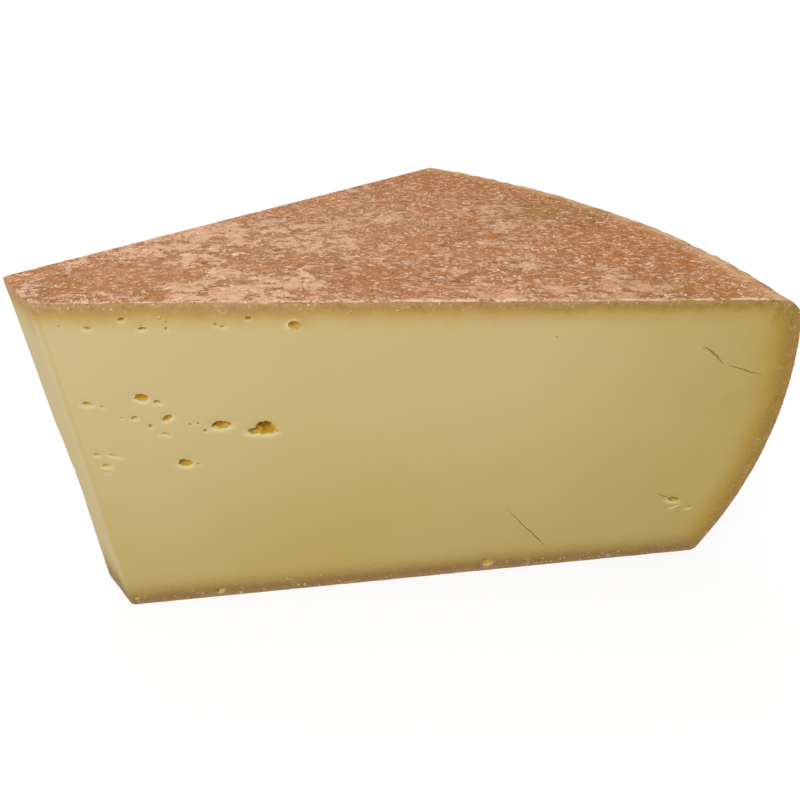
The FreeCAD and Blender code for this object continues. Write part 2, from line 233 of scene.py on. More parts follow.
def tip_section(share, level):
    """A point of the tip's blunt side, share 0 at the front cut to 1 at the back cut, edges rounded."""
    front_start, front_end, back_start, back_end = cut_corners(level)
    along_front = unit(front_end - front_start)
    along_back = unit(back_end - back_start)
    across = unit(back_start - front_start)
    half_front = np.arccos(np.clip((along_front * across).sum(-1), -1, 1)) / 2
    half_back = np.arccos(np.clip((along_back * -across).sum(-1), -1, 1)) / 2
    reach_front = TIP_EDGE_ROUND / np.tan(half_front)
    reach_back = TIP_EDGE_ROUND / np.tan(half_back)
    out_front = (TIP_EDGE_ROUND / np.sin(half_front))[..., None]
    out_back = (TIP_EDGE_ROUND / np.sin(half_back))[..., None]
    centre_front = front_start + unit(along_front + across) * out_front
    centre_back = back_start + unit(along_back - across) * out_back

    def round_end(centre, one, two, t):
        mixed = unit((one - centre) * (1 - t)[..., None] + (two - centre) * t[..., None])
        return centre + mixed * TIP_EDGE_ROUND

    front_one = front_start + along_front * reach_front[..., None]
    front_two = front_start + across * reach_front[..., None]
    back_one = back_start - across * reach_back[..., None]
    back_two = back_start + along_back * reach_back[..., None]
    straight_end = 1 - ROUND_SHARE
    first = round_end(centre_front, front_one, front_two, np.clip(share / ROUND_SHARE, 0, 1))
    last = round_end(centre_back, back_one, back_two, np.clip((share - straight_end) / ROUND_SHARE, 0, 1))
    middle = np.clip((share - ROUND_SHARE) / (straight_end - ROUND_SHARE), 0, 1)[..., None]
    straight = front_two * (1 - middle) + back_one * middle
    in_front = (share < ROUND_SHARE)[..., None]
    in_back = (share > straight_end)[..., None]
    return np.where(in_front, first, np.where(in_back, last, straight))


def spaced(end, fine_ranges, fine, coarse):
    """Places from 0 to end, closer together inside the fine ranges."""
    at = np.linspace(0, end, 4001)
    wanted = np.full(at.shape, coarse)
    for low, high in fine_ranges:
        near = ease(at, low - 4, low) * (1 - ease(at, high, high + 4))
        wanted = np.minimum(wanted, coarse + (fine - coarse) * near)
    count = np.concatenate([[0], np.cumsum(np.diff(at) / ((wanted[1:] + wanted[:-1]) / 2))])
    steps = int(round(count[-1]))
    return np.interp(np.linspace(0, count[-1], steps + 1), count, at)


# Rows up the sides: the bevelled foot, the sides and the rounded top rim. Steps are in millimetres, and
# finer where the eyes and cracks are.
BEVEL_ROWS = 3
RIM_ROWS = 14
FINE_STEP = 0.5
COARSE_STEP = 1.25
SIDE_HEIGHT = 115.0
CUT_LENGTH = 245.0
SIDE_FINE = ((1, 9), (24, 39), (65, 99), (115, 119))
SIDE_ROWS = spaced(SIDE_HEIGHT, SIDE_FINE, FINE_STEP, COARSE_STEP) / SIDE_HEIGHT
ALONG = spaced(CUT_LENGTH, ((2, 84), (218, 242)), FINE_STEP, COARSE_STEP) / CUT_LENGTH
AROUND = np.linspace(0, 1, 251)
ACROSS_TIP = np.linspace(0, 1, 91)


def rim_centre(angle):
    """Centre of the top rim's rounding in the wheel's section, at an angle round the wheel."""
    fall = math.tan(TOP_SLOPE) * np.cos(angle - THIN_SIDE)
    out = np.full(np.shape(angle), WHEEL_RADIUS - 5.0)
    inner = HEEL_CURVE - TOP_RIM_ROUND
    for _ in range(6):
        level = WHEEL_HEIGHT - fall * out - TOP_RIM_ROUND * np.sqrt(1 + fall**2)
        out = WIDEST - HEEL_CURVE + np.sqrt(inner**2 - (level - HEEL_MIDDLE) ** 2)
    return out, level, fall


def heel_rows(angle):
    """The wheel's section at an angle: distance from the axis and level of every row, foot to top."""
    out, level, fall = rim_centre(angle)
    from_curve = np.stack([out - (WIDEST - HEEL_CURVE), level - HEEL_MIDDLE], axis=-1)
    to_heel = np.arctan2(from_curve[..., 1], from_curve[..., 0])
    to_top = np.pi / 2 - np.arctan(fall)
    meets_heel = level + TOP_RIM_ROUND * np.sin(to_heel)
    bevel = np.linspace(0, 1, BEVEL_ROWS + 1)[:-1]
    widening = heel_reach(FOOT_RIM_BEVEL) - WHEEL_RADIUS + FOOT_RIM_BEVEL
    foot_out = WHEEL_RADIUS - FOOT_RIM_BEVEL + bevel * widening
    foot_level = bevel * FOOT_RIM_BEVEL
    ones = np.ones(np.shape(angle) + (1,))
    side_level = FOOT_RIM_BEVEL + SIDE_ROWS * (meets_heel[..., None] - FOOT_RIM_BEVEL)
    turn = to_heel[..., None] + np.linspace(0, 1, RIM_ROWS + 1)[1:] * (to_top - to_heel)[..., None]
    rim_out = out[..., None] + TOP_RIM_ROUND * np.cos(turn)
    rim_level = level[..., None] + TOP_RIM_ROUND * np.sin(turn)
    outs = np.concatenate([foot_out * ones, heel_reach(side_level), rim_out], axis=-1)
    levels = np.concatenate([foot_level * ones, side_level, rim_level], axis=-1)
    return outs, levels


ROW_COUNT = BEVEL_ROWS + len(SIDE_ROWS) + RIM_ROWS


def heel_border(cut):
    """Where a long cut meets the heel, row by row, as angles round the wheel's axis."""
    angle = np.full(ROW_COUNT, 0.0 if cut == "front" else WEDGE_ANGLE)
    rows = np.arange(ROW_COUNT)
    for _ in range(12):
        outs, levels = heel_rows(angle)
        out, level = outs[rows, rows], levels[rows, rows]
        start, end = cut_ends(cut, level)
        along = unit(end - start)
        reach = start - AXIS
        dot = (reach * along).sum(-1)
        far = -dot + np.sqrt(dot**2 - (reach**2).sum(-1) + out**2)
        meet = reach + along * far[..., None]
        angle = np.arctan2(meet[..., 1], meet[..., 0])
    return angle, out, level


FRONT_HEEL = heel_border("front")
BACK_HEEL = heel_border("back")


def on_wheel(angle, out, level):
    """Points from their angle round the wheel, distance from its axis and level."""
    return np.stack([AXIS[0] + out * np.cos(angle), AXIS[1] + out * np.sin(angle), level], axis=-1)


def heel_grid():
    """The heel, around by row."""
    mix = AROUND[:, None]
    angle = FRONT_HEEL[0] * (1 - mix) + BACK_HEEL[0] * mix
    outs, levels = heel_rows(angle)
    rows = np.arange(ROW_COUNT)
    return on_wheel(angle, outs[:, rows, rows], levels[:, rows, rows])


ROW_SHARE = FRONT_HEEL[2] / top_level(*on_wheel(*FRONT_HEEL)[:, :2].T)
ROW_SHARE[-1] = 1.0


def tip_grid(across):
    """The blunt tip, across by row."""
    share = across[:, None] * np.ones(ROW_COUNT)
    level = np.full(share.shape, 60.0)
    for _ in range(8):
        place = tip_section(share, level)
        level = ROW_SHARE * top_level(place[..., 0], place[..., 1])
    return np.concatenate([tip_section(share, level), level[..., None]], axis=-1)


def cut_grid(cut):
    """A long cut, along by row, from its rounded tip edge to the heel."""
    at_front = cut == "front"
    tip = tip_grid(np.array([0.0 if at_front else 1.0]))[0]
    heel = on_wheel(*(FRONT_HEEL if at_front else BACK_HEEL))
    mix = ALONG[:, None]
    x = tip[:, 0] * (1 - mix) + heel[:, 0] * mix
    heel_share = heel[:, 2] / top_level(heel[:, 0], heel[:, 1])
    share = ROW_SHARE * (1 - mix) + heel_share * mix
    level = share * 130.0
    for _ in range(8):
        level = share * top_level(x, lies_back(cut, x, level))
    return np.stack([x, lies_back(cut, x, level), level], axis=-1)


def spanned(front, back, tip, heel):
    """A face spread between its four borders, along by around."""
    mix_a = np.linspace(0, 1, len(tip))[None, :, None]
    lengths = np.linalg.norm(np.diff(front, axis=0), axis=-1)
    along = np.concatenate([[0], np.cumsum(lengths)]) / lengths.sum()
    mix_l = along[:, None, None]
    across = front[:, None] * (1 - mix_a) + back[:, None] * mix_a
    lengthwise = tip[None] * (1 - mix_l) + heel[None] * mix_l
    ends = tip[0] * (1 - mix_a) + tip[-1] * mix_a
    far_ends = heel[0] * (1 - mix_a) + heel[-1] * mix_a
    return across + lengthwise - (ends * (1 - mix_l) + far_ends * mix_l)


# Wear, crumbling and relief

def worn(points):
    """Points pushed back where the tip's far edge is worn away."""
    level = points[..., 2]
    _, _, edge, _ = cut_corners(level)
    back = np.array([math.cos(WEDGE_ANGLE), math.sin(WEDGE_ANGLE)])
    outwards = np.array([-back[0], back[1]])
    outwards = outwards / np.linalg.norm(outwards)
    axis = edge + outwards * WORN_PROUD
    away = points[..., :2] - axis
    reach = np.linalg.norm(away, axis=-1)
    depth = np.interp(level, WORN_LEVELS, WORN_DEPTHS)
    depth = depth + 0.55 * rough(points, 9.0, 71, 3) * ease(depth, -1.0, 3.0)
    radius = WORN_PROUD + depth
    pushed = 0.5 * (reach + radius + np.sqrt((reach - radius) ** 2 + 0.8))
    near = 1 - ease(reach - radius, 0.5, 5.0)
    pushed = reach + (pushed - reach) * near * ease(depth, -1.6, 0.4)
    moved = points.copy()
    moved[..., :2] = axis + away / reach[..., None] * pushed[..., None]
    return moved


def border_reach(grid, sharp):
    """Distance of each grid point to the nearest sharp border, measured along the grid."""
    reach = np.full(grid.shape[:2], 1e3)
    for axis, (near, far) in enumerate(((sharp[0], sharp[1]), (sharp[2], sharp[3]))):
        step = np.linalg.norm(np.diff(grid, axis=axis), axis=-1)
        pad = [(0, 0), (0, 0)]
        pad[axis] = (1, 0)
        run = np.cumsum(np.pad(step, pad), axis=axis)
        whole = np.take(run, [-1], axis=axis)
        if near:
            reach = np.minimum(reach, run)
        if far:
            reach = np.minimum(reach, whole - run)
    return reach


def grid_normals(grid):
    """Outward directions of a grid's surface."""
    across = np.cross(np.gradient(grid, axis=0), np.gradient(grid, axis=1))
    across = unit(across)
    outwards = (across * (grid - CORE)).sum() > 0
    return across if outwards else -across


def eye_ring(points, eye):
    """Offsets from an eye's middle, along and across it, and how far outside its rim a place lies."""
    along, level, width, height, _, turn, _ = eye
    dx = points[..., 0] - along
    dz = points[..., 2] - level
    angle = math.radians(turn)
    a = dx * math.cos(angle) + dz * math.sin(angle)
    b = dz * math.cos(angle) - dx * math.sin(angle)
    ring = np.sqrt((a / (width / 2)) ** 2 + (b / (height / 2)) ** 2)
    return a, b, (ring - 1) * min(width, height) / 2


def eye_dips(points):
    """How far the front cut sinks softly round its eyes."""
    dip = np.zeros(points.shape[:-1])
    for eye in EYES:
        width, depth = eye[2], eye[4]
        _, _, out = eye_ring(points, eye)
        lip = 0.45 + 0.12 * width
        dip = np.maximum(dip, 0.10 * depth**0.8 * np.exp(-np.clip(out, 0, None) ** 2 / lip**2))
    return dip


def eye_lip_highlights(points):
    """Where the painted highlight on the lip of each eye lies: 1 at its rim, fading outwards."""
    lip = np.zeros(points.shape[:-1])
    for eye in EYES:
        width = eye[2]
        a, b, out = eye_ring(points, eye)
        towards = math.radians(130 if eye[:2] == HIGHLIT_ABOVE else -90)
        facing = (a * math.cos(towards) + b * math.sin(towards)) / np.maximum(np.hypot(a, b), 1e-6)
        highlit = ease(facing, -0.35, 0.7)
        reach = 0.35 + 0.10 * width
        fade = np.exp(-(np.clip(out - 0.1, 0, None) / reach) ** 2)
        lip = np.maximum(lip, highlit * fade * min(1.0, 0.35 + width / 6))
    return lip


def crumbled(grid, sharp, relief):
    """The grid with its surface relief, and with its sharp borders crumbled a little."""
    grid = worn(grid)
    reach = border_reach(grid, sharp)
    free = ease(reach, 0.0, 2.2)[..., None]
    edge = np.exp(-((reach / 2.0) ** 2))[..., None]
    crumbly = 0.35 + 0.65 * ease(grid[..., 2], 112.0, 122.0) * (1 - ease(grid[..., 1], 2.0, 30.0))
    shift = (0.18 * wander(grid, 4.5, 5) + 0.14 * wander(grid, 1.7, 9)) * crumbly[..., None]
    grid = grid + grid_normals(grid) * relief(grid)[..., None] * free + shift * edge
    grid[..., 2] = np.maximum(grid[..., 2], 0.0)
    return grid


def paste_relief(points):
    """The knife's faint waves and the paste's own unevenness."""
    waves = 0.22 * lumps(points * (1.0, 1.0, 0.55), 46.0, 21) + 0.07 * lumps(points, 17.0, 22)
    return waves + 0.015 * rough(points, 4.0, 23, 2)


def front_relief(points):
    """The paste's relief, sunk a little round the eyes."""
    return paste_relief(points) - eye_dips(points)


def rind_relief(points):
    """Scaly lumps of the rind, with shallow pits between them."""
    big = 0.28 * rough(points, 21.0, 31, 2)
    scales = 0.34 * rough(points * (0.7, 1.1, 1.0), 5.2, 33, 3)
    pits = -0.35 * ease(lumps(points, 6.5, 37), 0.45, 0.8)
    return big + scales + pits


def foot_relief(points):
    """Shallow dents in the foot, which rests on what lies between them."""
    return 0.3 * np.minimum(rough(points, 9.0, 41, 2), 0.0)


# Meshes

def to_part(points):
    """Millimetres of the cutting frame to metres on the part."""
    low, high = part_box(NODE)
    shift = np.array([high.x - WIDEST * MM - AXIS[0] * MM, low.y, low.z])
    return np.asarray(points, float) * MM + shift


def from_part(points):
    """Metres on the part back to millimetres of the cutting frame."""
    return (np.asarray(points, float) - to_part(np.zeros(3))) / MM


def placed(name, data):
    """A new object that holds the data, linked to the scene."""
    thing = bpy.data.objects.new(name, data)
    bpy.context.scene.collection.objects.link(thing)
    return thing


def link_mesh(name, points, faces):
    """A new object from points of the cutting frame."""
    mesh = bpy.data.meshes.new(name)
    mesh.from_pydata(to_part(points).tolist(), [], faces)
    mesh.update()
    return placed(name, mesh)


def worked_mesh(thing, modifier):
    """The object's mesh after its modifier, which is then removed."""
    graph = bpy.context.evaluated_depsgraph_get()
    mesh = bpy.data.meshes.new_from_object(thing.evaluated_get(graph), depsgraph=graph)
    thing.modifiers.remove(modifier)
    return mesh


def throw_away(thing):
    """Removes a helper object and its mesh."""
    mesh = thing.data
    bpy.data.objects.remove(thing)
    bpy.data.meshes.remove(mesh)


def grid_faces(count_a, count_b):
    """Quads of a grid, and its border's point numbers all round, turned the same way."""
    numbers = np.arange(count_a * count_b).reshape(count_a, count_b)
    quads = np.stack([numbers[:-1, :-1], numbers[1:, :-1], numbers[1:, 1:], numbers[:-1, 1:]], axis=-1)
    ring = np.concatenate([numbers[:-1, 0], numbers[-1, :-1], numbers[:0:-1, -1], numbers[0, :0:-1]])
    return quads.reshape(-1, 4), ring


def looks_inwards(outer, quads):
    """Whether a grid's quads face the middle of the wedge."""
    first = outer[quads[:, 0]]
    normal = np.cross(outer[quads[:, 1]] - first, outer[quads[:, 3]] - first)
    return (normal * (first - CORE)).sum() < 0


def side_piece(name, grid):
    """A closed piece: the grid outside, walls slanting in from its border, and a fan behind."""
    count_a, count_b = grid.shape[:2]
    quads, ring = grid_faces(count_a, count_b)
    outer = grid.reshape(-1, 3)
    inner_ring = CORE + (outer[ring] - CORE) * (1 - CORE_SHARE)
    middle = CORE + (outer.mean(0) - CORE) * (1 - CORE_SHARE)
    points = np.concatenate([outer, inner_ring, middle[None]])
    first = len(outer)
    apex = first + len(ring)
    following = np.roll(np.arange(len(ring)), -1)
    here = np.arange(len(ring))
    walls = np.stack([ring[following], ring, first + here, first + following], axis=-1)
    fan = np.stack([first + following, first + here, np.full(len(ring), apex)], axis=-1)
    if looks_inwards(outer, quads):
        quads, walls, fan = quads[:, ::-1], walls[:, ::-1], fan[:, ::-1]
    piece = link_mesh(name, points, quads.tolist() + walls.tolist() + fan.tolist())
    lay_out(piece, grid, len(quads), len(ring))
    return piece


# The map that a bake uses: an empty edge, and below the outside a narrow strip for the hidden faces.
MAP_EDGE = 0.004
MAP_FOOT = 0.034
STRIP_RING = 0.014
STRIP_MIDDLE = 0.020


def on_map(a, b):
    """Place on the map of a share of the way along each direction of the outside."""
    return np.stack([MAP_EDGE + (1 - 2 * MAP_EDGE) * a, MAP_FOOT + (1 - MAP_EDGE - MAP_FOOT) * b], axis=-1)


def loop_corners(mesh):
    """The number of the corner at each loop of the mesh."""
    numbers = np.empty(len(mesh.loops), np.int32)
    mesh.loops.foreach_get("vertex_index", numbers)
    return numbers


def lay_out(piece, grid, outer_faces, ring_count):
    """Makes the piece's map: the outside fills it, and the hidden faces keep the strip."""
    mesh = piece.data
    layer = mesh.uv_layers.new(name="OFBake")
    count_a, count_b = grid.shape[:2]
    a, b = np.meshgrid(run_share(grid, 0), run_share(grid, 1), indexing="ij")
    corner = loop_corners(mesh)
    hidden_row = np.linspace(MAP_EDGE, 1 - MAP_EDGE, ring_count + 1)[:-1]
    inner = np.stack([hidden_row, np.full(ring_count, STRIP_RING)], axis=-1)
    every = np.concatenate([on_map(a, b).reshape(-1, 2), inner, [[0.5, STRIP_MIDDLE]]])
    uv = every[corner]
    first_hidden = outer_faces * 4
    hidden = every.copy()
    _, ring = grid_faces(count_a, count_b)
    hidden[ring] = np.stack([hidden_row, np.full(ring_count, MAP_EDGE)], axis=-1)
    uv[first_hidden:] = hidden[corner[first_hidden:]]
    layer.uv.foreach_set("vector", uv.astype(np.float32).ravel())


def run_share(grid, axis):
    """Share of the way along one direction of the grid, by its mean steps."""
    step = np.linalg.norm(np.diff(grid, axis=axis), axis=-1).mean(axis=1 - axis)
    run = np.concatenate([[0], np.cumsum(step)])
    return run / run[-1]


def corner_places(mesh):
    """All corners of a mesh in the cutting frame."""
    flat = np.empty(len(mesh.vertices) * 3, np.float32)
    mesh.vertices.foreach_get("co", flat)
    return from_part(flat.reshape(-1, 3))


def note_depths(piece, reach=None):
    """How far each corner lies from the top, the heel and the foot, in millimetres, for the crust.

    The front cut also gets the depth of its hollows and the painted highlight on their lips, and the rind
    its distance from the front cut. The tip's crust is deeper away from its two edges."""
    places = corner_places(piece.data)
    out = np.linalg.norm(places[:, :2] - AXIS, axis=-1)
    level = np.clip(places[:, 2], 0, WHEEL_HEIGHT)
    values = {
        "below_top": top_level(places[:, 0], places[:, 1]) - places[:, 2],
        "before_heel": heel_reach(level) - out,
        "above_foot": places[:, 2],
    }
    if piece.name == "front_cut":
        values["hollow"] = places[:, 1] - lies_back("front", places[:, 0], places[:, 2]) + 0.2
        values["lip"] = eye_lip_highlights(places)
    if reach is not None:
        inside = np.concatenate([reach.reshape(-1), np.zeros(len(places) - reach.size)])
        if piece.name == "tip_cut":
            values["above_foot"] = values["above_foot"] * (1 - 0.45 * ease(inside, 0.0, 9.0))
            values["below_top"] = values["below_top"] * (1 - 0.35 * ease(inside, 0.0, 9.0))
        else:
            values["from_front"] = inside
    rim_out, rim_level, _ = rim_centre(np.arctan2(places[:, 1] - AXIS[1], places[:, 0] - AXIS[0]))
    past = np.stack([out - rim_out, places[:, 2] - rim_level], axis=-1)
    in_rim = (past > 0).all(-1)
    from_rim = TOP_RIM_ROUND - np.linalg.norm(past, axis=-1)
    below_rim = np.minimum(values["below_top"], from_rim + 1.2)
    values["below_top"] = np.where(in_rim, below_rim, values["below_top"])
    values["before_heel"] = np.where(in_rim, from_rim, values["before_heel"])
    for name, value in values.items():
        layer = piece.data.attributes.new(name, "FLOAT", "POINT")
        layer.data.foreach_set("value", np.clip(value, -2, 400).astype(np.float32))


# Faces that meet at more than this keep a sharp edge between them.
SHARP_ANGLE = math.radians(38.0)


def shade_smooth(piece):
    """Smooth shading, with the sharp edges kept."""
    piece.data.polygons.foreach_set("use_smooth", [True] * len(piece.data.polygons))
    piece.data.set_sharp_from_angle(angle=SHARP_ANGLE)


# Hollows in the front cut

def ball(divisions):
    """Corners and faces of a round ball of triangles."""
    form = bmesh.new()
    bmesh.ops.create_icosphere(form, subdivisions=divisions, radius=1.0)
    corners = np.array([corner.co for corner in form.verts])
    faces = [[corner.index for corner in face.verts] for face in form.faces]
    form.free()
    return corners, faces


def eye_form(number, eye):
    """One ragged hollow, its middle a little in front of the cut."""
    along, level, width, height, depth, turn, ragged = eye
    corners, faces = ball(4 if width > 4 else 3)
    swell = 1 + ragged * rough(corners + 7.3 * number, 0.55, 51, 3)
    shape = corners * swell[:, None] * (width / 2 * 1.04, depth, height / 2 * 1.04)
    angle = math.radians(turn)
    x = shape[:, 0] * math.cos(angle) - shape[:, 2] * math.sin(angle)
    z = shape[:, 0] * math.sin(angle) + shape[:, 2] * math.cos(angle)
    back = float(lies_back("front", np.array(along), np.array(level)))
    # The hollow leans up behind its upper rim.
    lean = 0.22 * np.clip(shape[:, 1], 0, None)
    return np.stack([along + x, back + shape[:, 1], level + z + lean], axis=-1), faces


def crack_form(number, crack):
    """One crack: a keeled slit that follows its bends and closes at both ends."""
    gape, depth, bends = crack
    bends = np.array(bends, float)
    run = np.concatenate([[0], np.cumsum(np.linalg.norm(np.diff(bends, axis=0), axis=-1))])
    steps = int(run[-1] / 0.35)
    t = np.linspace(0, run[-1], steps + 1)
    line = np.stack([np.interp(t, run, bends[:, 0]), np.interp(t, run, bends[:, 1])], axis=-1)
    sways = [lumps(np.stack([t, t * 0, t * 0 + k], -1), 1.6, 61 + number) for k in (0, 9)]
    line = line + 0.16 * np.stack(sways, -1)
    side = unit(np.gradient(line, axis=0))[:, ::-1] * (-1, 1)
    share = t / run[-1]
    open_share = np.sin(np.pi * np.clip(share, 0, 1)) ** 0.7
    ragged = 1 + 0.45 * lumps(np.stack([t, t * 0 + 3, t * 0], -1), 2.2, 65 + number)
    half = gape / 2 * open_share * ragged + 0.02
    rings = []
    for place, across, wide, deep in zip(line, side, half, depth * open_share + 0.1):
        back = float(lies_back("front", np.array(place[0]), np.array(place[1])))
        one = place + across * wide
        two = place - across * wide
        rings.append(((one[0], back - 0.6, one[1]), (two[0], back - 0.6, two[1]),
                      (two[0], back, two[1]), (place[0], back + deep, place[1]), (one[0], back, one[1])))
    points = np.array(rings).reshape(-1, 3)
    faces = []
    sides = len(rings[0])
    for step in range(len(rings) - 1):
        for k in range(sides):
            a, b = step * sides + k, step * sides + (k + 1) % sides
            faces.append([a, b, b + sides, a + sides])
    last = (len(rings) - 1) * sides
    faces.append(list(range(sides))[::-1])
    faces.append([last + k for k in range(sides)])
    return points, faces


def joined(forms):
    """The forms as one, their faces renumbered."""
    points, faces, count = [], [], 0
    for corners, form_faces in forms:
        points.append(corners)
        faces.extend([[corner + count for corner in face] for face in form_faces])
        count += len(corners)
    return np.concatenate(points), faces


def carve(piece, name, forms):
    """Takes the forms out of the piece."""
    tool = link_mesh(name, *joined(forms))
    form = bmesh.new()
    form.from_mesh(tool.data)
    bmesh.ops.recalc_face_normals(form, faces=form.faces)
    form.to_mesh(tool.data)
    form.free()
    tool.data.uv_layers.new(name="OFBake")
    cut = piece.modifiers.new(name, "BOOLEAN")
    cut.operation = "DIFFERENCE"
    cut.solver = "EXACT"
    cut.object = tool
    old = piece.data
    piece.data = worked_mesh(piece, cut)
    piece.data.name = piece.name
    bpy.data.meshes.remove(old)
    throw_away(tool)


def lay_out_flat(piece):
    """The front cut's map after carving: straight on, with the hidden faces in the strip."""
    mesh = piece.data
    places = corner_places(mesh)
    corner = loop_corners(mesh)
    depth = places[:, 1] - lies_back("front", places[:, 0], places[:, 2])
    starts = np.empty(len(mesh.polygons), np.int32)
    mesh.polygons.foreach_get("loop_start", starts)
    deepest = np.maximum.reduceat(depth[corner], starts)
    totals = np.diff(np.append(starts, len(corner)))
    hidden = np.repeat(deepest > DEEPEST_EYE, totals)
    low, high = places.min(0), places.max(0)
    share = (places[corner] - low) / (high - low)
    uv = on_map(share[:, 0], share[:, 2])
    uv[hidden, 1] = MAP_EDGE + (STRIP_MIDDLE - MAP_EDGE) * share[hidden, 2]
    mesh.uv_layers["OFBake"].uv.foreach_set("vector", uv.astype(np.float32).ravel())


# Node helpers

def linear(red, green, blue):
    """A colour written as 0 to 255 per channel, as the shader wants it."""
    def one(value):
        value = value / 255
        return value / 12.92 if value <= 0.04045 else ((value + 0.055) / 1.055) ** 2.4
    return (one(red), one(green), one(blue), 1.0)


class Tree:
    """A node tree being filled: adds nodes and links their sockets."""

    def __init__(self, tree):
        self.tree = tree

    def put(self, socket, value):
        """Links a value into a socket, or sets the socket where the value is a constant."""
        if isinstance(value, bpy.types.NodeSocket):
            self.tree.links.new(value, socket)
        else:
            socket.default_value = value

    def add(self, kind, values=(), **settings):
        node = self.tree.nodes.new(kind)
        for name, value in settings.items():
            setattr(node, name, value)
        for socket, value in dict(values).items():
            self.put(node.inputs[socket], value)
        return node

    def use(self, group, **values):
        """Places a shader group, its inputs given by name."""
        return self.add("ShaderNodeGroup", values, node_tree=group).outputs

    def math(self, operation, *values, clamp=False):
        return self.add("ShaderNodeMath", enumerate(values), operation=operation, use_clamp=clamp).outputs[0]

    def rise(self, value, low, high, to_low=0.0, to_high=1.0):
        """A smooth step up of a value, between low and high."""
        node = self.add("ShaderNodeMapRange", {0: value, 1: low, 2: high, 3: to_low, 4: to_high},
                        interpolation_type="SMOOTHSTEP")
        return node.outputs[0]

    def fall(self, value, low, high):
        """A smooth step down of a value, between low and high."""
        return self.math("SUBTRACT", 1.0, self.rise(value, low, high))

    def mix(self, factor, one, two):
        return self.add("ShaderNodeMix", {0: factor, 6: one, 7: two}, data_type="RGBA").outputs[2]

    def tint(self, colour, mask, share, hue):
        """Lays a hue over a colour where the mask is, as strongly as the share says."""
        return self.mix(self.math("MULTIPLY", mask, share), colour, hue)

    def stretch(self, vector, scale):
        return self.add("ShaderNodeMapping", {"Vector": vector, "Scale": scale}).outputs[0]

    def noise(self, vector, scale, detail=3.0, roughness=0.5, distortion=0.0):
        values = {"Vector": vector, "Scale": scale, "Detail": detail, "Roughness": roughness,
                  "Distortion": distortion}
        return self.add("ShaderNodeTexNoise", values).outputs[0]

    def attribute(self, name):
        return self.add("ShaderNodeAttribute", attribute_name=name).outputs["Fac"]


def new_group(name, inputs, outputs, kind="ShaderNodeTree"):
    """An empty group with named sockets: inputs as (name, type, value), outputs as (name, type)."""
    tree = bpy.data.node_groups.new(name, kind)
    for socket, sort, value in inputs:
        made = tree.interface.new_socket(socket, in_out="INPUT", socket_type=f"NodeSocket{sort}")
        if value is not None:
            made.default_value = value
    for socket, sort in outputs:
        tree.interface.new_socket(socket, in_out="OUTPUT", socket_type=f"NodeSocket{sort}")
    inside = Tree(tree)
    return inside, inside.add("NodeGroupInput").outputs, inside.add("NodeGroupOutput").inputs


def crust_fade_group():
    """How browned a cut is near the rind: 1 at the rind to 0 at the crust's width, with a ragged front."""
    inside, taken, given = new_group(
        "Crust fade",
        (("Vector", "Vector", None), ("Depth", "Float", 0.0), ("Width", "Float", 5.0),
         ("Ragged", "Float", 1.0)),
        (("Fade", "Float"), ("Skin", "Float")),
    )
    wavy = inside.math("SUBTRACT", inside.noise(taken["Vector"], 90.0, 4.0, 0.6), 0.5)
    shifted = inside.math("MULTIPLY_ADD", wavy, taken["Ragged"], taken["Depth"])
    share = inside.math("DIVIDE", shifted, taken["Width"], clamp=True)
    thin = inside.math("MULTIPLY", taken["Width"], 0.2)
    thin_share = inside.math("DIVIDE", shifted, thin, clamp=True)
    inside.put(given["Fade"], inside.math("POWER", inside.math("SUBTRACT", 1.0, share), 1.6))
    inside.put(given["Skin"], inside.math("SUBTRACT", 1.0, thin_share))
    return inside.tree


def mottle_group():
    """Soft irregular patches: a mask from 0 to 1."""
    inside, taken, given = new_group(
        "Mottle",
        (("Vector", "Vector", None), ("Scale", "Float", 30.0), ("Detail", "Float", 4.0),
         ("Roughness", "Float", 0.6), ("Low", "Float", 0.4), ("High", "Float", 0.6)),
        (("Mask", "Float"),),
    )
    spread = inside.noise(taken["Vector"], taken["Scale"], taken["Detail"], taken["Roughness"], 0.35)
    inside.put(given["Mask"], inside.rise(spread, taken["Low"], taken["High"]))
    return inside.tree


def grain_group():
    """Fine grain: a height for bumps, and masks of its crests and pits."""
    inside, taken, given = new_group(
        "Grain",
        (("Vector", "Vector", None), ("Scale", "Float", 600.0), ("Coarse", "Float", 0.5)),
        (("Height", "Float"), ("Crests", "Float"), ("Pits", "Float")),
    )
    fine = inside.noise(taken["Vector"], taken["Scale"], 3.0, 0.65)
    wide = inside.noise(taken["Vector"], inside.math("MULTIPLY", taken["Scale"], 0.31), 4.0, 0.6, 0.4)
    fine_share = inside.math("SUBTRACT", 1.0, taken["Coarse"])
    height = inside.math("ADD", inside.math("MULTIPLY", wide, taken["Coarse"]),
                         inside.math("MULTIPLY", fine, fine_share))
    inside.put(given["Height"], height)
    inside.put(given["Crests"], inside.rise(height, 0.54, 0.64))
    inside.put(given["Pits"], inside.fall(height, 0.36, 0.46))
    return inside.tree


def new_material(name, roughness, specular):
    """A material, its tree, its surface shader and the place on the piece that patterns go by."""
    material = bpy.data.materials.new(name)
    material.use_nodes = True
    nodes = Tree(material.node_tree)
    surface = material.node_tree.nodes["Principled BSDF"]
    surface.inputs["Roughness"].default_value = roughness
    surface.inputs["Specular IOR Level"].default_value = specular
    place = nodes.add("ShaderNodeTexCoord").outputs["Object"]
    return material, nodes, surface, place


def patches(nodes, mottle, place, scale, detail, roughness, low, high):
    """The mottle's mask with these values."""
    masks = nodes.use(mottle, Vector=place, Scale=scale, Detail=detail, Roughness=roughness,
                      Low=low, High=high)
    return masks["Mask"]


